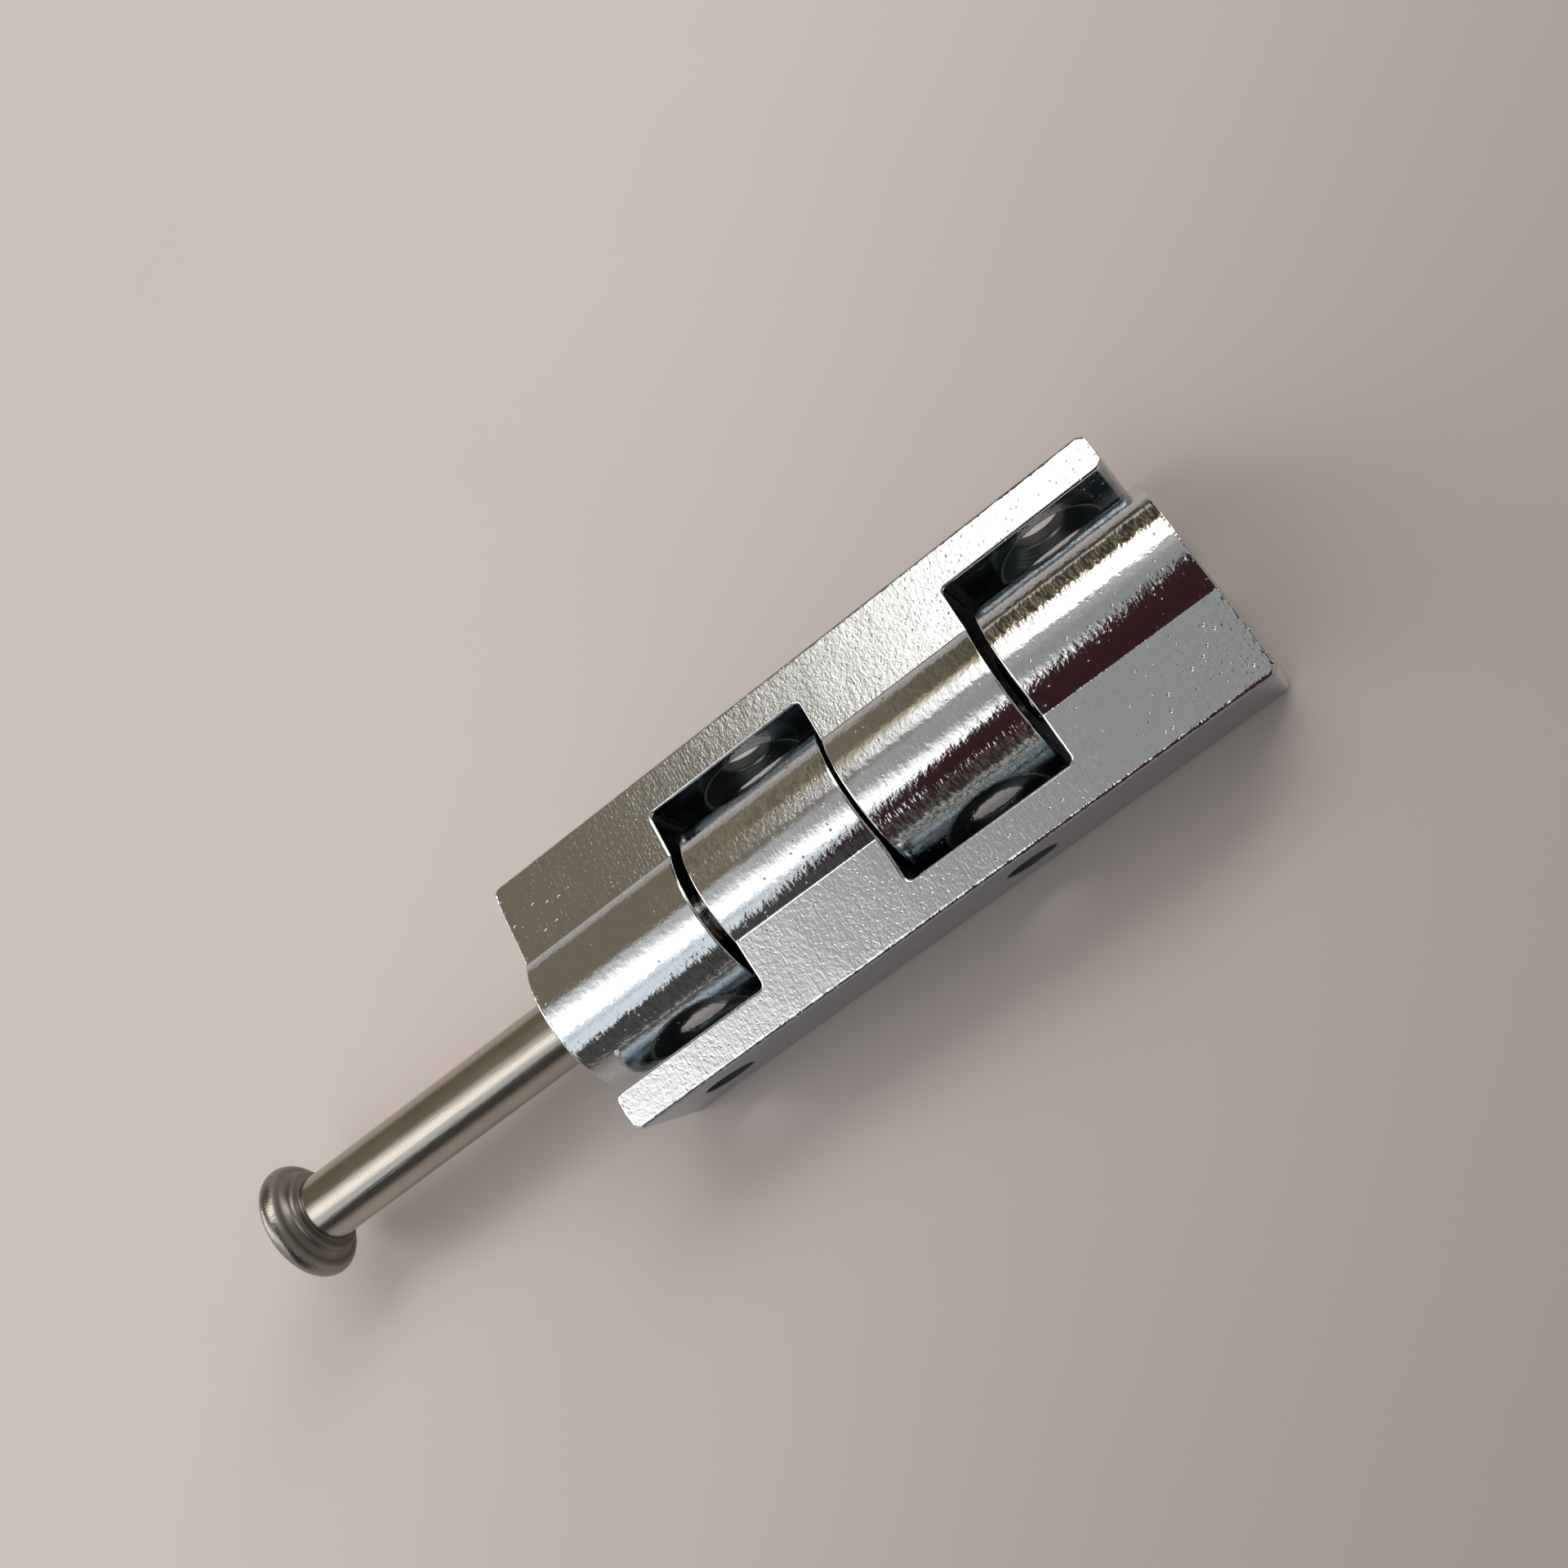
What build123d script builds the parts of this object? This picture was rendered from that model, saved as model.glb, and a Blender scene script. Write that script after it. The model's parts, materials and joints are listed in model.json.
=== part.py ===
from build123d import *
from math import asin, atan2, degrees, hypot, sqrt
import os

# A block hinge of two like castings on a loose headed pin.
# Millimetres, +Z up from the table on which the hinge lies, +X along the pin from its head.
# The origin is the middle of the frame leaf's mounting face.

# Knuckles, along the pin
end_knuckle_length = 15.5
mid_knuckle_length = 14.0
knuckle_play = 1.2  # free length of a middle knuckle in the other leaf's pocket
end_gap = 0.9  # the part of that play that lies towards the pin's head
open_pocket_length = 15.3

# Cross-section
barrel_radius = 7.1
block_thickness = 11.8  # the barrel stands proud of the block on both sides
wall_thickness = 3.4
wall_clearance = 0.8  # between a barrel and the wall that it turns in front of

# Broken edges and corners of the castings
edge_break = 0.35
barrel_rim_break = 0.25
bore_mouth_break = 0.3
end_corner_radius = 0.8
pocket_corner_radius = 0.5

# Screw holes through the wall, countersunk at a right angle on the pocket side
screw_hole_diameter = 4.5
countersink_diameter = 9.2
end_hole_inset = 6.9  # from the wall's free end to the outer hole's centre

# Pin
pin_diameter = 6.0
running_clearance = 0.05  # radial, between the pin and the bore
pin_tip_recess = 0.6  # the seated pin stops this far inside the last knuckle
pin_tip_break = 0.6
pin_drawn_out = 30.3  # from the first knuckle to the collar under the head
collar_diameter = 7.8
collar_length = 0.6
collar_rim_break = 0.15
head_diameter = 10.6
head_underside_slope = 0.4  # the head's underside is a shallow cone, this deep
head_rim_radius = 0.95
head_dome_radius = 9.0

# Worked out from the sizes above
pocket_length = mid_knuckle_length + knuckle_play
mid_knuckle_start = end_knuckle_length + pocket_length
open_pocket_start = mid_knuckle_start + mid_knuckle_length
leaf_length = open_pocket_start + open_pocket_length
wall_inner = barrel_radius + wall_clearance
half_width = wall_inner + wall_thickness
half_thickness = block_thickness / 2
pocket_hole = end_knuckle_length + pocket_length / 2
end_hole = leaf_length - end_hole_inset
door_leaf_end = open_pocket_start + end_gap + end_knuckle_length
pin_length = door_leaf_end - pin_tip_recess

knuckles = ((0, end_knuckle_length), (mid_knuckle_start, mid_knuckle_length))
from_base = (Align.CENTER, Align.CENTER, Align.MIN)


def lying_angle():
    """Angle by which a leaf sags about the pin until its outer lower edge meets the table."""
    lower_corners = ((half_width, half_thickness - edge_break),
                     (half_width - edge_break, half_thickness))
    angles = [asin(min(1.0, barrel_radius / hypot(y, z))) - atan2(z, y) for y, z in lower_corners]
    return max(0.0, degrees(min(angles)))


def leaf_plan():
    """The casting from above: a full-length wall with an arm to each knuckle."""
    plan = Pos(0, wall_inner) * Rectangle(leaf_length, wall_thickness, align=Align.MIN)
    for start, length in knuckles:
        plan += Pos(start, 0) * Rectangle(length, half_width, align=Align.MIN)
    inner_side = plan.vertices().group_by(Axis.Y)[1].sort_by(Axis.X)
    plan = fillet(inner_side[:-1], pocket_corner_radius)
    mounting_side = plan.vertices().group_by(Axis.Y)[-1].sort_by(Axis.X)
    free_end = plan.vertices().group_by(Axis.X)[-1]
    return fillet(free_end + mounting_side[:1], end_corner_radius)


def knuckle_barrel(start, length):
    """One barrel on the pin's axis, with its two rims broken."""
    barrel = Plane.YZ.offset(start) * Cylinder(barrel_radius, length, align=from_base)
    return chamfer(barrel.edges().filter_by(GeomType.CIRCLE), barrel_rim_break)


def bore_cutter(start, length):
    """The pin's hole through one knuckle, with a chamfer at each mouth."""
    radius = pin_diameter / 2 + running_clearance
    hole = Cylinder(radius, length, align=from_base)
    mouth = Cone(radius + bore_mouth_break, radius, bore_mouth_break, align=from_base)
    far_mouth = Pos(0, 0, length) * (Rot(180, 0, 0) * mouth)
    return Plane.YZ.offset(start) * (hole + mouth + far_mouth)


def screw_cutter(along):
    """A screw hole through the wall, with its countersink open to the pocket."""
    radius = screw_hole_diameter / 2
    sink_radius = countersink_diameter / 2
    hole = Cylinder(radius, wall_thickness, align=from_base)
    sink = Cone(sink_radius, radius, sink_radius - radius, align=from_base)
    return Plane(origin=(along, wall_inner, 0), z_dir=(0, 1, 0)) * (hole + sink)


def leaf():
    """One casting in its own frame: the pin's axis is X, and the mounting face looks along +Y."""
    body = extrude(Plane.XY.offset(-half_thickness) * leaf_plan(), block_thickness)
    faces = body.faces().sort_by(Axis.Z)
    body = chamfer(faces[0].edges() + faces[-1].edges(), edge_break)
    for start, length in knuckles:
        body += knuckle_barrel(start, length)
    for start, length in knuckles:
        body -= bore_cutter(start, length)
    for along in (pocket_hole, end_hole):
        body -= screw_cutter(along)
    return body


def pin():
    """The headed pin, turned about X, with the collar's face at zero and the shaft along +X."""
    shaft_radius = pin_diameter / 2
    collar_radius = collar_diameter / 2
    rim_centre = Vector(-collar_length - head_underside_slope - head_rim_radius,
                        head_diameter / 2 - head_rim_radius)
    rim_front = rim_centre + Vector(head_rim_radius, 0)
    rim_edge = rim_centre + Vector(0, head_rim_radius)
    dome_centre_back = sqrt((head_dome_radius - head_rim_radius) ** 2 - rim_centre.Y ** 2)
    dome_centre = Vector(rim_centre.X + dome_centre_back, 0)
    crown = dome_centre - Vector(head_dome_radius, 0)
    dome_edge = dome_centre + (rim_centre - dome_centre).normalized() * head_dome_radius
    half_way_round = (dome_edge - dome_centre).normalized() + Vector(-1, 0)
    dome_middle = dome_centre + half_way_round.normalized() * head_dome_radius
    side = Polyline(
        crown,
        (pin_length, 0),
        (pin_length, shaft_radius - pin_tip_break),
        (pin_length - pin_tip_break, shaft_radius),
        (0, shaft_radius),
        (0, collar_radius - collar_rim_break),
        (-collar_rim_break, collar_radius),
        (-collar_length, collar_radius),
        rim_front,
    )
    rim = ThreePointArc(rim_front, rim_edge, dome_edge)
    dome = ThreePointArc(dome_edge, dome_middle, crown)
    profile = make_face(side.edges() + rim.edges() + dome.edges())
    return revolve(profile, Axis.X)


droop = lying_angle()
face_middle = Rot(-droop, 0, 0) * Pos(leaf_length / 2, half_width, 0)
to_origin = Pos(-face_middle.position)
turned_about = Pos(door_leaf_end, 0, 0) * Rot(0, 0, 180)

nodes = {
    "frame_leaf": to_origin * Rot(-droop, 0, 0) * leaf(),
    "door_leaf": to_origin * Rot(droop, 0, 0) * turned_about * leaf(),
    "hinge_pin": to_origin * Pos(-pin_drawn_out, 0, 0) * pin(),
}

os.makedirs("parts", exist_ok=True)
for name, solid in nodes.items():
    solid.label = name
    export_step(solid, f"parts/{name}.step")
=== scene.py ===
# %% [markdown]
# # A chrome block hinge with its pin drawn out
# The hinge is two like castings of zinc, plated bright, that turn about a loose steel pin.
# It lies on a table with the pin pulled halfway out, and both leaves sag a little about it.
# The CAD frame already holds every size and joint, so it is loaded first and never changed.

# %% Load the frame
import json
from math import asin, atan2, cos, degrees, hypot, pi, radians, sin, sqrt
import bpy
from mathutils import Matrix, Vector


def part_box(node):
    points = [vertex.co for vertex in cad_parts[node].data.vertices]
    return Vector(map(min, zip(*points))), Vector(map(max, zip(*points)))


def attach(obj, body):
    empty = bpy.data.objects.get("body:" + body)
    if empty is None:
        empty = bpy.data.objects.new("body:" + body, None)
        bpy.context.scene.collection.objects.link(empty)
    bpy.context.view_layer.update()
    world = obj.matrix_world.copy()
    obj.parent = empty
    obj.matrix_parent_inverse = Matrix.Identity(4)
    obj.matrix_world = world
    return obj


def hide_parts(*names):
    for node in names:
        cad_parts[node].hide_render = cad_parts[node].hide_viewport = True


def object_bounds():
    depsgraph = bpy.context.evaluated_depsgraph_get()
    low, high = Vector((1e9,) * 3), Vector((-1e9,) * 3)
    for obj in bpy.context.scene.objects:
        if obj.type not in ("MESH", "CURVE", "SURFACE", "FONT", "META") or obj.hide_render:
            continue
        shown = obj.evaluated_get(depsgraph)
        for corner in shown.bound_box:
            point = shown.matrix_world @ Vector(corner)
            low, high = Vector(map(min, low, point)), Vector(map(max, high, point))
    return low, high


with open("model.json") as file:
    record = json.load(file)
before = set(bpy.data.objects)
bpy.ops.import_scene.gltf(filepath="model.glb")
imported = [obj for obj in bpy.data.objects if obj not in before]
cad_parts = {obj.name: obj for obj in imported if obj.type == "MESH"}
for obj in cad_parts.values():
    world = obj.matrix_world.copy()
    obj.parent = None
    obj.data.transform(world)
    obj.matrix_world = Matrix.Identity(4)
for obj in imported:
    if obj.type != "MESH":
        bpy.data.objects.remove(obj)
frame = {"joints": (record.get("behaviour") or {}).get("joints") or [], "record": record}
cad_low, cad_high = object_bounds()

from types import SimpleNamespace

import bmesh
import bpy
from mathutils import Matrix, Vector

mounts = {mount["name"]: mount for mount in frame["record"]["mounts"]}
joints = {joint["name"]: joint for joint in frame["joints"]}
print("CAD box in mm:", [round(1000 * side, 2) for side in cad_high - cad_low])

# %% [markdown]
# ## Where things are
# A casting is easiest to build level, in its own millimetres, with the pin's axis as X and the
# mounting face looking along +Y. The frame says where that axis lies in the part and how far a
# leaf sags, so one matrix for each casting is enough to put it in place.

# %% Read the pin's axis, the sag and the leaves' places
MM = 0.001
pin_axis = Vector(joints["leaf_swing"]["pos_m"])
face_normal = Vector(mounts["frame_leaf_face"]["axis"])
sag = atan2(-face_normal.z, face_normal.y)
frame_leaf_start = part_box("frame_leaf")[0].x
door_leaf_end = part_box("door_leaf")[1].x
leaf_length = (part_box("frame_leaf")[1].x - frame_leaf_start) / MM
head_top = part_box("hinge_pin")[0].x
pin_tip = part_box("hinge_pin")[1].x

millimetres = Matrix.Scale(MM, 4)
to_frame_leaf = (Matrix.Translation((frame_leaf_start, pin_axis.y, pin_axis.z))
                 @ Matrix.Rotation(-sag, 4, "X") @ millimetres)
to_door_leaf = (Matrix.Translation((door_leaf_end, pin_axis.y, pin_axis.z))
                @ Matrix.Rotation(sag, 4, "X") @ Matrix.Rotation(pi, 4, "Z") @ millimetres)
to_pin = Matrix.Translation((head_top, pin_axis.y, pin_axis.z)) @ millimetres
print("leaf length", round(leaf_length, 2), "mm, sag", round(degrees(sag), 2), "degrees")

# %% [markdown]
# ## The camera
# It looks down steeply from the door leaf's side, a little past the pin's end, and it is turned
# so that the pin runs from the lower left of the picture to the upper right. A heading on the
# table says which way is up in the picture, which is easier to set than a roll angle.

# %% Set the camera
camera_place = Vector((0.0305, -0.0554, 0.1325))
camera_target = Vector((-0.0054, -0.0052, 0.0))
picture_up_heading = radians(57.2)
lens_length = 41.4
nearest_seen = 0.005

away = (camera_target - camera_place).normalized()
table_heading = Vector((cos(picture_up_heading), sin(picture_up_heading), 0))
right = away.cross(table_heading).normalized()
up = right.cross(away)
turned_to_view = Matrix((right, up, -away)).transposed().to_4x4()

camera_data = bpy.data.cameras.new("camera")
camera_data.lens = lens_length
camera_data.clip_start = nearest_seen
camera = bpy.data.objects.new("camera", camera_data)
camera.matrix_world = Matrix.Translation(camera_place) @ turned_to_view
bpy.context.scene.collection.objects.link(camera)
bpy.context.scene.camera = camera
bpy.context.scene.view_settings.view_transform = "Standard"
print("camera looks down at", round(degrees(asin(-away.z)), 1), "degrees")

# %% [markdown]
# ## Short helpers for node trees
# The light and every finish below are trees of nodes. A tree is hard to read as a list of
# sockets and links, so a few helpers write it as plain sums: one adds a node and joins its
# inputs, and the others each do one small step with numbers or with colours.

# %% Helpers that add nodes
def join(tree, value, socket):
    """Gives a socket a plain value, or links another node's output to it."""
    if isinstance(value, bpy.types.NodeSocket):
        tree.links.new(value, socket)
    else:
        socket.default_value = value


def add_node(tree, kind, inputs=None, **settings):
    """Adds a shader node with its settings, and joins its inputs."""
    node = tree.nodes.new("ShaderNode" + kind)
    for key, value in settings.items():
        setattr(node, key, value)
    for key, value in (inputs or {}).items():
        join(tree, value, node.inputs[key])
    return node


def blend_colours(tree, share, first, second):
    """Goes from the first colour to the second as share goes from 0 to 1."""
    node = add_node(tree, "Mix", data_type="RGBA")
    for place, value in ((0, share), (6, first), (7, second)):
        join(tree, value, node.inputs[place])
    return node.outputs[2]


# %% Helpers that calculate
def calculate(tree, operation, first, second=0.0):
    """One step of arithmetic on one or two numbers or outputs."""
    return add_node(tree, "Math", {0: first, 1: second}, operation=operation).outputs[0]


def product(tree, first, *others):
    """All the parts multiplied together: where masks overlap."""
    for other in others:
        first = calculate(tree, "MULTIPLY", first, other)
    return first


def weighted_sum(tree, total, *parts):
    """A starting number, plus each part's value times its weight."""
    for value, weight in parts:
        step = {0: value, 1: weight, 2: total}
        total = add_node(tree, "Math", step, operation="MULTIPLY_ADD").outputs[0]
    return total


def distance_from(tree, value, place):
    """How far a value is from a place, on either side."""
    return calculate(tree, "ABSOLUTE", calculate(tree, "SUBTRACT", value, place))


def soft_step(tree, value, start, end):
    """0 before start, 1 after end, smooth between them. Start may be the greater of the two."""
    return add_node(tree, "MapRange", {"Value": value, "From Min": start, "From Max": end},
                    interpolation_type="SMOOTHSTEP").outputs[0]


def soft_band(tree, value, low, low_full, high_full, high):
    """1 from low_full to high_full, and 0 below low and above high."""
    return product(tree, soft_step(tree, value, low, low_full),
                   soft_step(tree, value, high, high_full))


# %% [markdown]
# ## The light
# Bright plating has no colour of its own: it shows the room. So the room is most of the finish.
# Lamps would do for a duller metal, but chrome would show them as small bright shapes. Here the
# world itself is a light tent: large soft panels, each a rectangle with soft edges, placed by
# the direction in which it lies. A colour is written as it shows in the metal, and dividing by
# what the metal returns undoes what it swallows.

# %% Helpers for the studio
CHROME_RETURNS = (0.60, 0.62, 0.64)  # share of red, green and blue light that the metal returns

world = bpy.data.worlds.new("studio")
bpy.context.scene.world = world
world.use_nodes = True
world_tree = world.node_tree
world_tree.nodes.clear()
direction = add_node(world_tree, "TexCoord").outputs["Generated"]
toward_x, toward_y, toward_z = add_node(world_tree, "SeparateXYZ", {0: direction}).outputs


def linear(red, green, blue, gain=1.0):
    """A screen colour from 0 to 255 as the linear colour that Blender works in."""
    def one(value):
        share = value / 255
        return gain * (share / 12.92 if share <= 0.04045 else ((share + 0.055) / 1.055) ** 2.4)
    return (one(red), one(green), one(blue), 1.0)


def seen_in_chrome(red, green, blue, gain=1.0):
    """The light that shows as this screen colour in the metal."""
    light = linear(red, green, blue, gain)
    return tuple(part / share for part, share in zip(light, CHROME_RETURNS)) + (1.0,)


def panel(room, centre, half_size, turn, soft, colour):
    """Lays a soft-edged rectangle over the room, by the direction's X and Y."""
    across = Vector((cos(radians(turn)), sin(radians(turn))))
    upward = Vector((-across.y, across.x))
    share = 1.0
    for axis, half, edge in zip((across, upward), half_size, soft):
        along = add_node(world_tree, "VectorMath", {0: direction, 1: axis.to_3d()},
                         operation="DOT_PRODUCT").outputs["Value"]
        off_centre = distance_from(world_tree, along, Vector(centre).dot(axis))
        inside = soft_step(world_tree, off_centre, half + edge, half - edge)
        share = product(world_tree, inside, share)
    return blend_colours(world_tree, share, room, colour)


# %% Hang the ceiling, the far wall and the panels
ceiling = blend_colours(world_tree, soft_step(world_tree, toward_x, -0.11, -0.42),
                        seen_in_chrome(135, 137, 137), seen_in_chrome(176, 178, 177))
wall = blend_colours(world_tree, soft_step(world_tree, toward_x, -0.20, -0.06),
                     seen_in_chrome(105, 98, 84), seen_in_chrome(66, 61, 50))
room = blend_colours(world_tree, soft_step(world_tree, toward_y, 0.66, 0.74), ceiling, wall)

# Name, centre, half size, turn in degrees, half width of the soft edges, colour in the metal.
# A later panel covers an earlier one.
panels = (
    ("left far wall", (-0.65, 0.75), (0.45, 0.48), 0, (0.08, 0.08), wall),
    ("right ceiling", (0.55, 0.20), (0.30, 0.12), 0, (0.08, 0.06),
     seen_in_chrome(190, 190, 187)),
    ("middle ceiling", (0.25, 0.30), (0.35, 0.09), 0, (0.10, 0.14),
     seen_in_chrome(172, 172, 171)),
    ("cream strip", (0.35, 0.70), (0.55, 0.045), 0, (0.12, 0.04), seen_in_chrome(190, 176, 146)),
    ("main light", (0.41, 0.5275), (0.465, 0.1275), 0, (0.265, 0.05),
     seen_in_chrome(255, 255, 252, 2.9)),
    ("slanting light", (-0.589, -0.014), (0.173, 0.595), 42, (0.130, 0.04),
     seen_in_chrome(255, 255, 255, 1.3)),
    ("end light", (-0.82, 0.27), (0.13, 0.30), 0, (0.05, 0.06),
     seen_in_chrome(255, 255, 255, 1.7)),
    ("blue-grey card", (-0.44, -0.55), (0.21, 0.15), 0, (0.04, 0.04),
     seen_in_chrome(203, 212, 219)),
    ("line on that card", (-0.44, -0.50), (0.19, 0.010), 0, (0.03, 0.015),
     seen_in_chrome(150, 160, 168)),
    ("dark red card", (0.41, -0.50), (0.69, 0.53), 59, (0.03, 0.025),
     seen_in_chrome(48, 27, 29)),
    ("grey card", (0.68, -0.50), (0.45, 0.47), 0, (0.10, 0.06), seen_in_chrome(128, 127, 124)),
    ("brown strip", (-0.10, -0.900), (0.065, 0.020), 0, (0.03, 0.025),
     seen_in_chrome(88, 66, 52)),
    ("light low strip", (-0.12, -0.965), (0.16, 0.012), 0, (0.05, 0.012),
     seen_in_chrome(128, 128, 122)),
    ("dark corner", (-0.71, -0.95), (0.50, 0.26), 0, (0.03, 0.03), seen_in_chrome(61, 62, 61)),
    ("dark near wall", (0.0, -1.06), (1.20, 0.12), 0, (0.10, 0.03), seen_in_chrome(60, 60, 58)),
)
for name, *shape_and_colour in panels:
    room = panel(room, *shape_and_colour)
print("panels:", ", ".join(name for name, *shape_and_colour in panels))

# %% [markdown]
# ## Behind the table
# Past the table's edge the camera should see a plain backdrop and not the panels, so the camera
# gets a picture of its own there. Near the horizon the metal sees that same backdrop, because
# there the eye can compare the two.

# %% Hang the backdrop
DIM_SIDE = (0.6, -0.8, 0.0)
NEAR_HORIZON = (0.08, 0.14)

to_dim_side = add_node(world_tree, "VectorMath", {0: direction, 1: DIM_SIDE},
                       operation="DOT_PRODUCT").outputs["Value"]
# Painted shade: the backdrop goes darker towards the dim side, to meet the table's painted shade.
backdrop = blend_colours(world_tree, soft_step(world_tree, to_dim_side, -0.7, 0.7),
                         linear(180, 173, 167), linear(140, 134, 129))
room = blend_colours(world_tree, soft_step(world_tree, toward_z, *NEAR_HORIZON), backdrop, room)
straight_to_camera = add_node(world_tree, "LightPath").outputs["Is Camera Ray"]
room = blend_colours(world_tree, straight_to_camera, room, backdrop)
background = add_node(world_tree, "Background", {"Color": room, "Strength": 1.0})
output = add_node(world_tree, "OutputWorld")
join(world_tree, background.outputs[0], output.inputs[0])
print("world:", len(world_tree.nodes), "nodes")

# %% [markdown]
# ## The table
# A plain pale sheet at the height of the hinge's lowest point. A trace of mottling keeps it from
# looking like a flat colour, and shade is painted into its colour towards the side that the light
# doesn't reach. It carries the hinge's soft shadow and shows in the low sides of the metal.

# %% Lay the table
TABLE_REACH = 1.2
TABLE_SHADE_SPAN = (-0.05, 0.085)  # metres towards the dim side
corners = [(x * TABLE_REACH, y * TABLE_REACH, cad_low.z)
           for x, y in ((-1, -1), (1, -1), (1, 1), (-1, 1))]
table_mesh = bpy.data.meshes.new("table")
table_mesh.from_pydata(corners, [], [(0, 1, 2, 3)])
table = bpy.data.objects.new("table", table_mesh)
bpy.context.scene.collection.objects.link(table)

table_finish = bpy.data.materials.new("pale_table")
table_finish.use_nodes = True
table_tree = table_finish.node_tree
table_shader = table_tree.nodes["Principled BSDF"]
table_place = add_node(table_tree, "TexCoord").outputs["Object"]
mottle = add_node(table_tree, "TexNoise", {"Vector": table_place, "Scale": 18.0, "Detail": 5.0})
lit_colour = blend_colours(table_tree, mottle.outputs[0],
                           linear(206, 197, 194), linear(213, 205, 202))
to_dim_side = add_node(table_tree, "VectorMath", {0: table_place, 1: DIM_SIDE},
                       operation="DOT_PRODUCT").outputs["Value"]
# Painted shade: the table's colour goes darker towards the dim side, where less light falls.
table_colour = blend_colours(table_tree, soft_step(table_tree, to_dim_side, *TABLE_SHADE_SPAN),
                             lit_colour, linear(161, 153, 149))
join(table_tree, table_colour, table_shader.inputs["Base Color"])
join(table_tree, 0.75, table_shader.inputs["Roughness"])
table_mesh.materials.append(table_finish)
print("table:", 2 * TABLE_REACH, "m square at", round(cad_low.z / MM, 2), "mm")

# %% [markdown]
# ## Sizes of one casting
# They are the section's real millimetres. The CAD frame gives the length of the leaf and the
# holes, and the rest is named here. The barrel is a hair smaller than the CAD one of 7.1 mm, so
# that the visual model stays inside the CAD model's box.

# %% Name the casting's sizes
barrel_radius = 7.097
half_thickness = 5.9
wall_inner = 7.9
half_width = 11.3
end_knuckle_length = 15.5
mid_knuckle_start = 30.7
mid_knuckle_end = 44.7
bore_radius = 3.05
hole_radius = mounts["frame_leaf_screws"]["dims"]["hole_r_mm"]
hole_spacing = mounts["frame_leaf_screws"]["dims"]["pcd_mm"]
pocket_hole = (end_knuckle_length + mid_knuckle_start) / 2
hole_places = (pocket_hole, pocket_hole + hole_spacing)
sink_radius = 4.6
print("screw holes at", [round(hole, 2) for hole in hole_places], "mm from the leaf's end")

# %% [markdown]
# ## Marks on plated metal
# Two kinds of pattern make every finish here. A grain is a noise squeezed or stretched to the
# pitch of the real marks along each axis. Spots are the middles of a few scattered cells, such
# as the pinholes that gas leaves in a casting. Both read the piece's own millimetres, kept on
# its mesh, so the marks ride with the piece. A picture of the marks would do too, but it needs
# an unwrapped mesh and goes soft up close.

# %% Start a finish
def start_finish(name, place_name):
    """A new material: its tree, its shader and the piece's own millimetres."""
    material = bpy.data.materials.new(name)
    material.use_nodes = True
    tree = material.node_tree
    place = add_node(tree, "Attribute", attribute_name=place_name).outputs["Vector"]
    return material, tree, tree.nodes["Principled BSDF"], place


# %% Helpers for marks
def shift(tree, place, amount):
    """The same place further on in the pattern."""
    return add_node(tree, "VectorMath", {0: place, 1: amount}, operation="ADD").outputs[0]


def grain(tree, place, pitch, detail):
    """Noise whose marks are about this many millimetres apart along X, Y and Z."""
    squeezed = add_node(tree, "VectorMath", {0: place, 1: [1 / step for step in pitch]},
                        operation="MULTIPLY").outputs[0]
    return add_node(tree, "TexNoise", {"Vector": squeezed, "Scale": 1.0,
                                       "Detail": detail}).outputs[0]


def scattered_spots(tree, place, cells_per_mm, share, radius):
    """Small round spots at the middles of a share of the cells."""
    cells = add_node(tree, "TexVoronoi", {"Vector": place, "Scale": cells_per_mm}, feature="F1")
    luck = add_node(tree, "SeparateXYZ", {0: cells.outputs["Color"]}).outputs[0]
    rim = radius * cells_per_mm
    spot = soft_step(tree, cells.outputs["Distance"], rim, 0.35 * rim)
    return product(tree, calculate(tree, "LESS_THAN", luck, share), spot)


def add_relief(tree, shader, *heights):
    """Raises the surface by each pattern times its height in millimetres."""
    relief = weighted_sum(tree, 0.0, *heights)
    bump = add_node(tree, "Bump", {"Height": relief, "Distance": MM, "Strength": 1.0})
    join(tree, bump.outputs[0], shader.inputs["Normal"])


# %% [markdown]
# ## The zones of a casting
# One material covers a whole leaf, so it has to know where it is. Each zone is a mask from 0 to
# 1, worked out from the casting's own millimetres: the flats, the ends, the recess behind the
# other leaf's barrel, the countersinks and so on. Splitting the mesh into several materials
# would give hard borders, which plating doesn't have.

# %% Name where the zones start and end
FLAT_STARTS = (3.7, 4.1)           # across, where the barrel runs into the flat
END_FACE = (0.40, 0.25)            # along, from either end
SECOND_HALF = (22.0, 31.0)         # along
SCALY_EDGES = (0.4, 0.7)           # how softly the scaly band starts and ends
SCALY_REACH = (28.0, 14.0)         # along, either way from the scaly band's middle
SCALY_FAR_OFF = 0.35               # share of the scales that is left beyond that reach
RECESS = (6.7, 7.1, 11.0, 11.2)    # across, at the back of a pocket
RECESS_HEIGHT = (5.5, 4.9)         # up and down from the middle plane
OUTER_EDGE = (10.85, 11.0)         # across
EDGE_HEIGHT = (5.45, 5.60)         # up and down from the middle plane
RIM_WIDTH = (0.20, 0.08)           # either way from the countersink's rim
RIM_DEPTH = (7.7, 7.8, 8.1, 8.2)   # across
MOUNTING_FACE = (11.15, 11.28)     # across
WALL = (wall_inner + 0.05, half_width - 0.03)  # across, just inside its two faces
HOLE_REACH = hole_radius + 0.05                # from the hole's axis


# %% Work out the zones
def distance_from_holes(tree, along, height):
    """How far a point is from the nearest screw hole's axis."""
    distances = []
    for hole in hole_places:
        off = calculate(tree, "SUBTRACT", along, hole)
        square = calculate(tree, "ADD", product(tree, off, off), product(tree, height, height))
        distances.append(calculate(tree, "SQRT", square))
    return calculate(tree, "MINIMUM", *distances)


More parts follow.
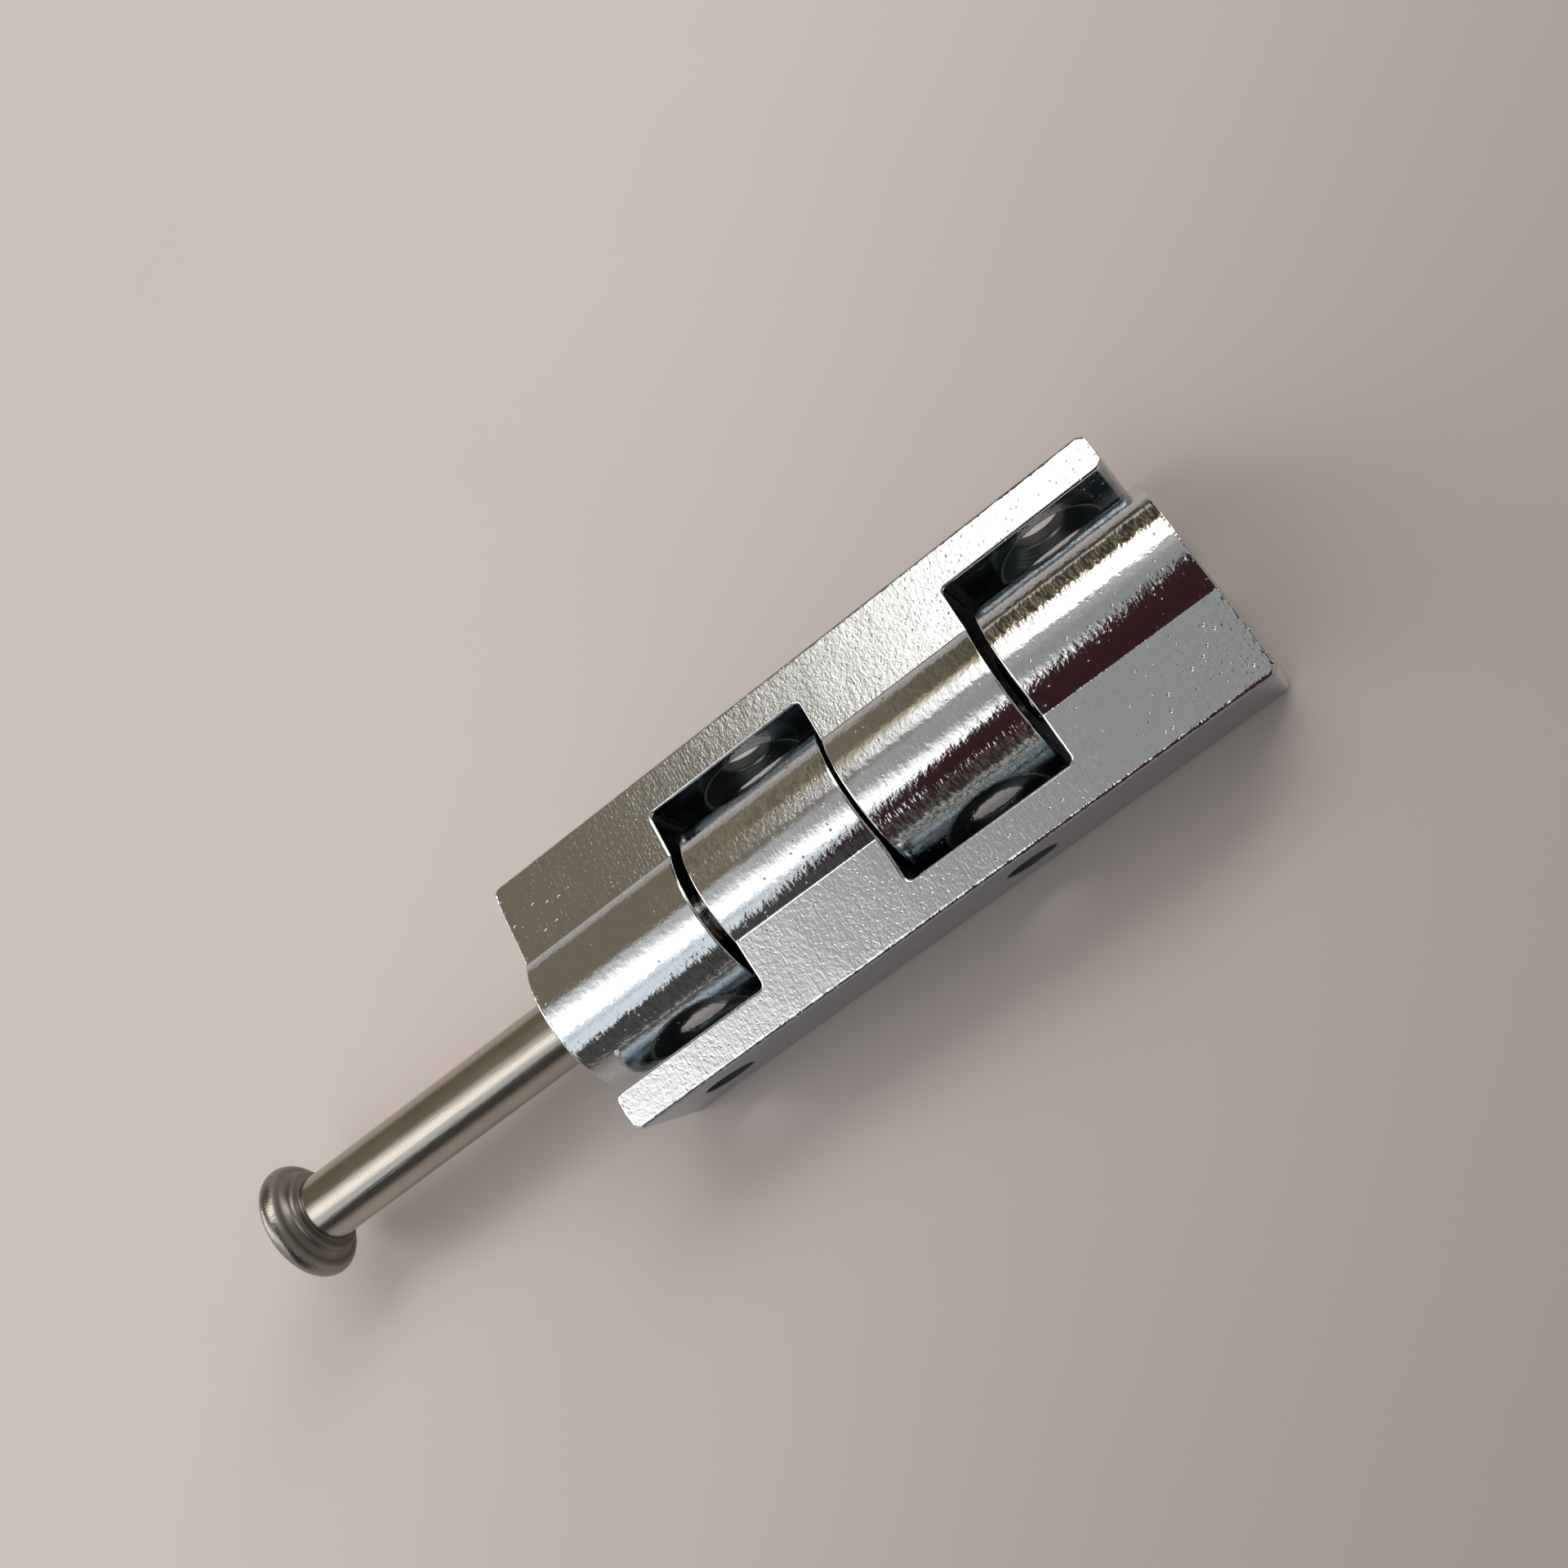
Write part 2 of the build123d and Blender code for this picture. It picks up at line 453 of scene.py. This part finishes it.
def casting_zones(tree, place, scaly_band, scaly_middle):
    """Masks from 0 to 1 for the places where a casting looks different."""
    along, across, height = add_node(tree, "SeparateXYZ", {0: place}).outputs
    zones = SimpleNamespace()
    zones.on_flat = soft_step(tree, across, *FLAT_STARTS)
    zones.past_middle = soft_step(tree, along, *SECOND_HALF)
    off_mid_plane = calculate(tree, "ABSOLUTE", height)
    at_end = calculate(tree, "MAXIMUM", soft_step(tree, along, *END_FACE),
                       soft_step(tree, along, *(leaf_length - reach for reach in END_FACE)))
    off_end = calculate(tree, "SUBTRACT", 1.0, at_end)

    low, high = scaly_band
    in_band = soft_band(tree, across, low, low + SCALY_EDGES[0], high - SCALY_EDGES[1], high)
    near_middle = soft_step(tree, distance_from(tree, along, scaly_middle), *SCALY_REACH)
    thick = weighted_sum(tree, SCALY_FAR_OFF, (near_middle, 1 - SCALY_FAR_OFF))
    zones.scaly = product(tree, in_band, off_end, thick)
    zones.in_recess = product(tree, soft_band(tree, across, *RECESS), off_end,
                              soft_step(tree, off_mid_plane, *RECESS_HEIGHT))
    at_side = calculate(tree, "MAXIMUM", soft_step(tree, across, *OUTER_EDGE), at_end)
    zones.at_edge = product(tree, at_side, soft_step(tree, off_mid_plane, *EDGE_HEIGHT))
    # The mounting face carries painted shade in its colour.
    zones.on_mounting_face = soft_step(tree, across, *MOUNTING_FACE)

    zones.from_hole = distance_from_holes(tree, along, height)
    in_wall = product(tree, calculate(tree, "GREATER_THAN", across, WALL[0]),
                      calculate(tree, "LESS_THAN", across, WALL[1]))
    # The countersinks and the screw holes carry painted shade in their colour.
    zones.in_sink = product(tree, in_wall,
                            calculate(tree, "LESS_THAN", zones.from_hole, sink_radius))
    zones.in_hole = product(tree, in_wall,
                            calculate(tree, "LESS_THAN", zones.from_hole, HOLE_REACH))
    off_rim = distance_from(tree, zones.from_hole, sink_radius)
    zones.on_rim = product(tree, soft_step(tree, off_rim, *RIM_WIDTH),
                           soft_band(tree, across, *RIM_DEPTH))
    return zones


# %% [markdown]
# ## Plated casting
# Zinc comes out of the die with a faint skin of ripples, flow lines and pinholes. The plating
# follows all of it and polishes nothing away, so the reflections have ragged edges. The flats
# carry the comb of the die's finish, the countersinks the rings of the drill, the edges are a
# little worn, and one side of each barrel is scaly where the metal ran cold.

# %% Make the casting's patterns
def casting_marks(tree, place):
    """The patterns that the relief, the colour and the gloss of a casting share."""
    marks = SimpleNamespace()
    marks.cloud = grain(tree, place, (7.0, 5.0, 5.0), 2.0)
    marks.ripple = grain(tree, place, (0.22, 0.60, 0.60), 3.0)
    marks.scales = grain(tree, place, (0.26, 0.70, 0.70), 1.2)
    pinholes = scattered_spots(tree, place, cells_per_mm=1.7, share=0.30, radius=0.14)
    marks.pit = product(tree, pinholes, soft_step(tree, marks.cloud, 0.44, 0.62))
    return marks


def comb(tree, place):
    """Fine lines across the flats, with some waver."""
    stretched = add_node(tree, "VectorMath", {0: place, 1: (1.0, 0.12, 0.12)},
                         operation="MULTIPLY").outputs[0]
    return add_node(tree, "TexWave", {"Vector": stretched, "Scale": 1.0, "Distortion": 3.2,
                                      "Detail": 3.0, "Detail Scale": 1.6},
                    bands_direction="X").outputs["Fac"]


# %% Raise the casting's skin
SINK_RING_PITCH = 0.24


def raise_casting_skin(tree, shader, place, zones, marks):
    """The casting's relief: each pattern, and how high it stands in millimetres."""
    patchy = soft_step(tree, marks.cloud, 0.36, 0.62)
    rippled = product(tree, marks.ripple, weighted_sum(tree, 0.55, (zones.on_flat, 0.15)),
                      weighted_sum(tree, 0.4, (patchy, 0.6)))
    combed = product(tree, comb(tree, place), zones.on_flat,
                     weighted_sum(tree, 1.0, (zones.past_middle, -0.75)))
    dent = scattered_spots(tree, shift(tree, place, (9.1, 9.1, 9.1)),
                           cells_per_mm=2.6, share=0.32, radius=0.12)
    dent = product(tree, dent, zones.on_flat, zones.past_middle)
    pimple = scattered_spots(tree, shift(tree, place, (5.3, 5.3, 5.3)),
                             cells_per_mm=2.3, share=0.06, radius=0.10)
    turns = calculate(tree, "MULTIPLY", zones.from_hole, 2 * pi / SINK_RING_PITCH)
    rings = product(tree, calculate(tree, "SINE", turns), zones.in_sink)
    wear = weighted_sum(tree, -0.5, (grain(tree, place, (0.80, 0.45, 0.45), 2.5), 1.0))
    add_relief(tree, shader,
               (grain(tree, place, (2.6, 3.4, 3.4), 1.0), 0.024),      # slow swell
               (rippled, 0.018),
               (combed, 0.0015),
               (grain(tree, place, (0.45, 0.45, 0.45), 2.0), 0.016),   # peel of the plating
               (product(tree, marks.scales, zones.scaly), 0.075),
               (marks.pit, -0.030),
               (dent, -0.012),
               (pimple, 0.009),
               (rings, 0.0045),
               (product(tree, grain(tree, place, (0.15, 0.21, 0.21), 1.5), zones.on_flat), 0.009),
               (product(tree, wear, zones.at_edge), 0.065))


# %% [markdown]
# ## Colour and gloss of the plating
# The plating is thinner where the current of the bath reached less, at the back of the pockets,
# and there it is darker and bluer. The countersinks, the screw holes and the mounting face get
# painted shade in their colour, and the scales painted shade and painted glints. The colours are
# laid over each other in order, like glazes, and each zone adds a little to the roughness.

# %% Tint the plating
CHROME_DIPS, CHROME_TOPS = (0.53, 0.55, 0.57, 1), (0.67, 0.69, 0.71, 1)
# Painted shade and painted glints: the scales are dark in their dips and nearly white on their
# tops.
SCALE_PAINTED_SHADE, SCALE_PAINTED_GLINT = (0.33, 0.34, 0.34, 1), (0.95, 0.95, 0.92, 1)
PIT_COLOUR = (0.26, 0.26, 0.27, 1)
RECESS_COLOUR = (0.47, 0.54, 0.58, 1)
# Painted shade: the countersinks darker, and the screw holes nearly black.
SINK_PAINTED_SHADE = (0.27, 0.33, 0.36, 1)
HOLE_PAINTED_SHADE = (0.04, 0.042, 0.042, 1)
RIM_COLOUR = (0.80, 0.86, 0.86, 1)
# Painted shade: the mounting face is darker and bluer than the rest of the plating.
MOUNTING_FACE_PAINTED_SHADE = (0.32, 0.365, 0.45, 1)


def casting_colour(tree, zones, marks):
    """The plating's colour, one zone laid over another."""
    colour = blend_colours(tree, marks.ripple, CHROME_DIPS, CHROME_TOPS)
    # The scales' painted shade in their dips and painted glints on their tops.
    scale_shade_and_glint = blend_colours(tree, soft_step(tree, marks.scales, 0.42, 0.56),
                                 SCALE_PAINTED_SHADE, SCALE_PAINTED_GLINT)
    for share, over in ((product(tree, zones.scaly, 0.75), scale_shade_and_glint),
                        (marks.pit, PIT_COLOUR), (zones.in_recess, RECESS_COLOUR),
                        (zones.in_sink, SINK_PAINTED_SHADE), (zones.in_hole, HOLE_PAINTED_SHADE),
                        (zones.on_rim, RIM_COLOUR),
                        (zones.on_mounting_face, MOUNTING_FACE_PAINTED_SHADE)):
        colour = blend_colours(tree, share, colour, over)
    return colour


# %% Put the casting's finish together
def plated_casting(name, seed, scaly_band, scaly_middle):
    """Bright plating over the skin of one casting."""
    material, tree, shader, place = start_finish(name, "casting_place")
    zones = casting_zones(tree, place, scaly_band, scaly_middle)
    skin_place = shift(tree, place, (seed, 2 * seed, 3 * seed))
    marks = casting_marks(tree, skin_place)
    raise_casting_skin(tree, shader, skin_place, zones, marks)
    join(tree, casting_colour(tree, zones, marks), shader.inputs["Base Color"])
    rough = weighted_sum(tree, 0.045, (marks.cloud, 0.05), (zones.in_recess, 0.12),
                         (zones.on_rim, 0.20), (zones.in_sink, 0.14), (zones.in_hole, 0.30),
                         (marks.pit, 0.3))
    join(tree, rough, shader.inputs["Roughness"])
    # The screw holes are also less metallic, so that they stay dark: part of their painted shade.
    metallic = weighted_sum(tree, 1.0, (zones.in_hole, -0.5))
    join(tree, metallic, shader.inputs["Metallic"])
    print(name + ":", len(tree.nodes), "nodes")
    return material


# %% [markdown]
# ## Cutting a casting from a bar
# The section is the same all along: a rectangular block that runs into a round barrel. So the
# leaf starts as one bar of that section, and two plates with rounded corners cut the pockets
# out of it. The bore and the screw holes are turned shapes that cut the rest. Sculpting or a
# subdivision surface would leave the flats a little wavy, and this keeps them truly flat, which
# a mirror finish needs.

# %% Helpers that make closed shapes
def mesh_object(name, points, faces):
    """A new closed object from points and faces, with all faces looking outwards."""
    mesh = bpy.data.meshes.new(name)
    mesh.from_pydata(points, [], faces)
    work = bmesh.new()
    work.from_mesh(mesh)
    bmesh.ops.recalc_face_normals(work, faces=work.faces)
    work.to_mesh(mesh)
    work.free()
    shape = bpy.data.objects.new(name, mesh)
    bpy.context.scene.collection.objects.link(shape)
    return shape


def extruded(name, outline, start, end, place):
    """A closed prism: place puts each outline point at the start and at the end."""
    count = len(outline)
    points = [place(a, b, level) for level in (start, end) for a, b in outline]
    faces = [tuple(reversed(range(count))), tuple(range(count, 2 * count))]
    faces += [(i, (i + 1) % count, count + (i + 1) % count, count + i) for i in range(count)]
    return mesh_object(name, points, faces)


# %% Make turned shapes
def turned(name, profile, steps, place):
    """A closed turned shape; the profile is (radius, along), and both its ends are on the axis."""
    rings = profile[1:-1]
    points = [place(0, 0, profile[0][1])]
    for radius, along in rings:
        points += [place(radius * cos(2 * pi * k / steps), radius * sin(2 * pi * k / steps), along)
                   for k in range(steps)]
    points.append(place(0, 0, profile[-1][1]))
    last = len(points) - 1
    faces = []
    for k in range(steps):
        after = (k + 1) % steps
        faces.append((0, 1 + k, 1 + after))
        for ring in range(len(rings) - 1):
            low, high = 1 + ring * steps, 1 + (ring + 1) * steps
            faces.append((low + k, high + k, high + after, low + after))
        faces.append((last, last - steps + after, last - steps + k))
    return mesh_object(name, points, faces)


# %% [markdown]
# ## Modifiers as tools
# A boolean modifier takes one closed shape away from another, as a milling cutter does. It stays
# live until it is applied. Here each is applied at once, so that the next step finds real faces
# and edges to work on.

# %% Helpers that cut and finish a shape
def settle(shape):
    """Makes the modifiers' result the object's own mesh."""
    depsgraph = bpy.context.evaluated_depsgraph_get()
    result = bpy.data.meshes.new_from_object(shape.evaluated_get(depsgraph), depsgraph=depsgraph)
    shape.modifiers.clear()
    shape.data = result


def cut(shape, cutter):
    """Takes the cutter away from the shape, and then throws the cutter away."""
    modifier = shape.modifiers.new("cut", "BOOLEAN")
    modifier.operation = "DIFFERENCE"
    modifier.solver = "EXACT"
    modifier.object = cutter
    settle(shape)
    bpy.data.objects.remove(cutter)


def shade_smooth(shape):
    """Shades every face smoothly."""
    for polygon in shape.data.polygons:
        polygon.use_smooth = True


def remember_place(shape, name):
    """Keeps each point's own millimetres on the mesh, for the finish to read."""
    places = shape.data.attributes.new(name, "FLOAT_VECTOR", "POINT")
    places.data.foreach_set("vector", [c for v in shape.data.vertices for c in v.co])


# %% [markdown]
# ## The bar and its cutters
# An arc is drawn as many short steps: at two degrees a step, the straight facets of the barrel
# lie within a few thousandths of a millimetre of the true curve. Each cutter reaches a little
# beyond the bar, because two faces in the same place would leave scraps.

# %% Draw the bar
ARC_STEP = radians(2.0)


def arc(centre, radius, start, end, count=None):
    """Points along an arc in count steps, both ends included."""
    count = count or round(abs(end - start) / ARC_STEP)
    angles = [start + (end - start) * k / count for k in range(count + 1)]
    return [(centre[0] + radius * cos(a), centre[1] + radius * sin(a)) for a in angles]


def casting_bar(name):
    """The full section, as long as the leaf."""
    shoulder = asin(half_thickness / barrel_radius)
    outline = [(half_width, -half_thickness), (half_width, half_thickness)]
    outline += arc((0, 0), barrel_radius, shoulder, 2 * pi - shoulder)
    return extruded(name, outline, 0.0, leaf_length, lambda y, z, x: (x, y, z))


# %% Make the cutters
BEYOND = 1.0
CUTTER_STEPS = 96
SINK_LEAD = 0.4            # the countersink's cone starts this far in front of the wall
pocket_corner_radius = 0.5


def pocket_cutter(start, end, rounded_end):
    """A plate that clears one pocket, right through the leaf."""
    corner = pocket_corner_radius
    reach = barrel_radius + BEYOND
    outline = [(start, -reach), (end, -reach)]
    if rounded_end:
        outline += arc((end - corner, wall_inner - corner), corner, 0, pi / 2, 6)
    else:
        outline.append((end, wall_inner))
    outline += arc((start + corner, wall_inner - corner), corner, pi / 2, pi, 6)
    return extruded("pocket", outline, -reach, reach, lambda x, y, z: (x, y, z))


def bore_cutter():
    """The pin's bore, through all knuckles."""
    start, end = -BEYOND, leaf_length + BEYOND
    profile = [(0, start), (bore_radius, start), (bore_radius, end), (0, end)]
    return turned("bore", profile, CUTTER_STEPS, lambda a, b, along: (along, a, b))


def screw_cutter(hole):
    """A screw hole with its countersink on the pocket side."""
    start, end = wall_inner - SINK_LEAD, half_width + BEYOND
    floor = wall_inner + sink_radius - hole_radius
    profile = [(0, start), (sink_radius + SINK_LEAD, start), (hole_radius, floor),
               (hole_radius, end), (0, end)]
    return turned("screw_hole", profile, CUTTER_STEPS, lambda a, b, along: (hole + a, along, b))


# %% [markdown]
# ## Rounding the edges
# A casting has no sharp edge: the die is rounded, and the plating rounds it more. Each edge then
# shows as a thin bright line. A bevel does that on all sharp edges at once, and a weight on
# each edge makes the outer ones rounder than those in the pockets. Weighted normals keep the
# flats as flat as a mirror beside the rounded edges.

# %% Round the wall's corners
TOUCHING = 0.01
end_corner_radius = 0.8


def round_end_corners(shape):
    """Rounds the three outer upright corners of the wall."""
    work = bmesh.new()
    work.from_mesh(shape.data)
    places = ((0.0, half_width), (leaf_length, half_width), (leaf_length, wall_inner))
    found = [edge for edge in work.edges if any(
        all(hypot(v.co.x - x, v.co.y - y) < TOUCHING for v in edge.verts) for x, y in places)]
    bmesh.ops.bevel(work, geom=found, offset=end_corner_radius, segments=8, profile=0.5,
                    affect="EDGES")
    work.to_mesh(shape.data)
    work.free()
    print("rounded", len(found), "upright corners")


# %% Round the sharp edges
SHARP_ANGLE = radians(38)
edge_round = 0.40
inner_edge_round = 0.22


def weigh_edges(shape):
    """Marks the sharp edges for the bevel: the outer side's fully, all others less."""
    work = bmesh.new()
    work.from_mesh(shape.data)
    weight = work.edges.layers.float.new("bevel_weight_edge")
    for edge in work.edges:
        if len(edge.link_faces) == 2 and edge.calc_face_angle() > SHARP_ANGLE:
            outer = all(v.co.y > half_width - end_corner_radius - TOUCHING
                        and abs(abs(v.co.z) - half_thickness) < TOUCHING for v in edge.verts)
            edge[weight] = 1.0 if outer else inner_edge_round / edge_round
    work.to_mesh(shape.data)
    work.free()


def round_edges(shape):
    """Bevels the marked edges and lets the large faces set the shading."""
    bevel = shape.modifiers.new("edges", "BEVEL")
    bevel.width = edge_round
    bevel.segments = 4
    bevel.limit_method = "WEIGHT"
    settle(shape)
    shade_smooth(shape)
    weighted = shape.modifiers.new("shading", "WEIGHTED_NORMAL")
    weighted.mode = "FACE_AREA"
    weighted.keep_sharp = True
    settle(shape)


# %% [markdown]
# ## Two leaves from one casting
# The real leaves come from the same die, and one is turned round so that its knuckles fall into
# the other's pockets. Both are made by the same steps here too. Only the seed of the marks and
# the scaly band differ, so that the two don't look like copies.

# %% Make one casting
def casting(name):
    """One leaf in its own millimetres, with all sharp edges rounded."""
    shape = casting_bar(name)
    cut(shape, pocket_cutter(end_knuckle_length, mid_knuckle_start, True))
    cut(shape, pocket_cutter(mid_knuckle_end, leaf_length + BEYOND, False))
    round_end_corners(shape)
    cut(shape, bore_cutter())
    for hole in hole_places:
        cut(shape, screw_cutter(hole))
    weigh_edges(shape)
    round_edges(shape)
    remember_place(shape, "casting_place")
    return shape


# %% Put both leaves in place
# Node, its place, seed of the marks, scaly band across the barrel, middle of the scaly part
leaves = (("frame_leaf", to_frame_leaf, 0.0, (-5.9, -4.2), 38.0),
          ("door_leaf", to_door_leaf, 37.0, (-4.1, -2.0), 6.0))
for name, matrix, seed, scaly_band, scaly_middle in leaves:
    leaf = casting(name + "_casting")
    leaf.data.transform(matrix)
    leaf.data.materials.clear()
    leaf.data.materials.append(plated_casting(name + "_chrome", seed, scaly_band, scaly_middle))
    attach(leaf, name)
    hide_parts(name)
    print(leaf.name, len(leaf.data.polygons), "faces")

# %% [markdown]
# ## The pin
# A pin of drawn wire with an upset head, plated with satin nickel. It is a turned piece, so one
# profile round the axis makes it: a domed top, a full round rim, a shallow cone under the head,
# a narrow collar and a long plain shaft.

# %% Name the pin's sizes
pin_radius = 3.0
collar_radius = 3.9
collar_length = 0.6
collar_round = 0.34
collar_web = 0.24          # fillet between the head's underside and the collar
foot_round = 0.12          # fillet between the collar and the shaft
underside_depth = 0.4
head_radius = 5.3
rim_radius = 0.95
dome_radius = 9.0
tip_round = 0.6
pin_end = (pin_tip - head_top) / MM
print("pin:", round(pin_end, 2), "mm from the top of the dome to the tip")

# %% Draw the pin's profile
PIN_STEPS = 160
rim_centre_radius = head_radius - rim_radius
dome_reach = sqrt((dome_radius - rim_radius) ** 2 - rim_centre_radius ** 2)
rim_centre = (rim_centre_radius, dome_radius - dome_reach)
tangent = atan2(rim_centre_radius, dome_reach)
neck = rim_centre[1] + rim_radius + underside_depth
collar_face = neck + collar_length
underside_slope = underside_depth / (rim_centre_radius - collar_radius)


def web_point(share):
    """A point on the fillet from the head's underside, at 0, to the collar, at 1."""
    out = collar_web * (1 - share) ** 2
    return collar_radius + out, neck - out * underside_slope + collar_web * share ** 2


# %% Turn the pin
profile = arc((0, dome_radius), dome_radius, -pi / 2, tangent - pi / 2, 14)
profile += arc(rim_centre, rim_radius, tangent - pi / 2, 0, 12)[1:]
profile += arc(rim_centre, rim_radius, 0, pi / 2, 12)[1:]
profile += [web_point(step / 6) for step in range(7)]
profile += arc((collar_radius - collar_round, collar_face - collar_round), collar_round,
               0, pi / 2, 7)
profile += arc((pin_radius + foot_round, collar_face + foot_round), foot_round, -pi / 2, -pi, 6)[1:]
profile += arc((pin_radius - tip_round, pin_end - tip_round), tip_round, 0, pi / 2, 8)
profile.append((0, pin_end))
pin = turned("headed_pin", profile, PIN_STEPS, lambda a, b, along: (along, a, b))
shade_smooth(pin)
remember_place(pin, "pin_place")
print("pin:", len(profile), "profile points, collar face at", round(collar_face, 3), "mm")

# %% [markdown]
# ## Satin nickel
# The pin is duller and warmer than the leaves. Its shaft has the fine lengthwise lines of drawn
# wire. The head was hit into shape and is rougher than the shaft, and roughest in the groove
# under it, where no polishing reaches. The head's colour is painted darker than the shaft's,
# and darker still in the groove: painted shade.

# %% Finish the pin
HEAD_ENDS = (3.15, 2.75)                   # along, from the top of the dome
GROOVE = (2.75, 3.15, 4.30, 4.55)          # along
SHAFT_DIPS, SHAFT_TOPS = (0.38, 0.355, 0.315, 1), (0.47, 0.44, 0.395, 1)
# Painted shade: the head's colour is darker than the shaft's.
HEAD_SHADED_COLOUR = (0.28, 0.262, 0.24, 1)
GROOVE_PAINTED_SHADE = (0.20, 0.187, 0.170, 1)


def satin_nickel(name):
    """Nickel plate on a turned pin."""
    material, tree, shader, place = start_finish(name, "pin_place")
    along = add_node(tree, "SeparateXYZ", {0: place}).outputs[0]
    on_head = soft_step(tree, along, *HEAD_ENDS)
    # The groove under the head: rougher, and with painted shade in its colour.
    in_shaded_groove = soft_band(tree, along, *GROOVE)
    drawn = grain(tree, place, (4.0, 0.13, 0.13), 2.0)
    cloud = grain(tree, place, (3.0, 2.0, 2.0), 3.0)
    skin = product(tree, grain(tree, place, (0.25, 0.25, 0.25), 2.0),
                   weighted_sum(tree, 0.3, (on_head, 1.0)))
    add_relief(tree, shader, (skin, 0.020), (drawn, 0.009))
    colour = blend_colours(tree, cloud, SHAFT_DIPS, SHAFT_TOPS)
    colour = blend_colours(tree, on_head, colour, HEAD_SHADED_COLOUR)
    colour = blend_colours(tree, in_shaded_groove, colour, GROOVE_PAINTED_SHADE)
    join(tree, colour, shader.inputs["Base Color"])
    rough = weighted_sum(tree, 0.135, (cloud, 0.10), (on_head, 0.09), (in_shaded_groove, 0.22))
    join(tree, rough, shader.inputs["Roughness"])
    join(tree, 1.0, shader.inputs["Metallic"])
    print(name + ":", len(tree.nodes), "nodes")
    return material


pin.data.transform(to_pin)
pin.data.materials.append(satin_nickel("pin_nickel"))
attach(pin, "hinge_pin")
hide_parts("hinge_pin")
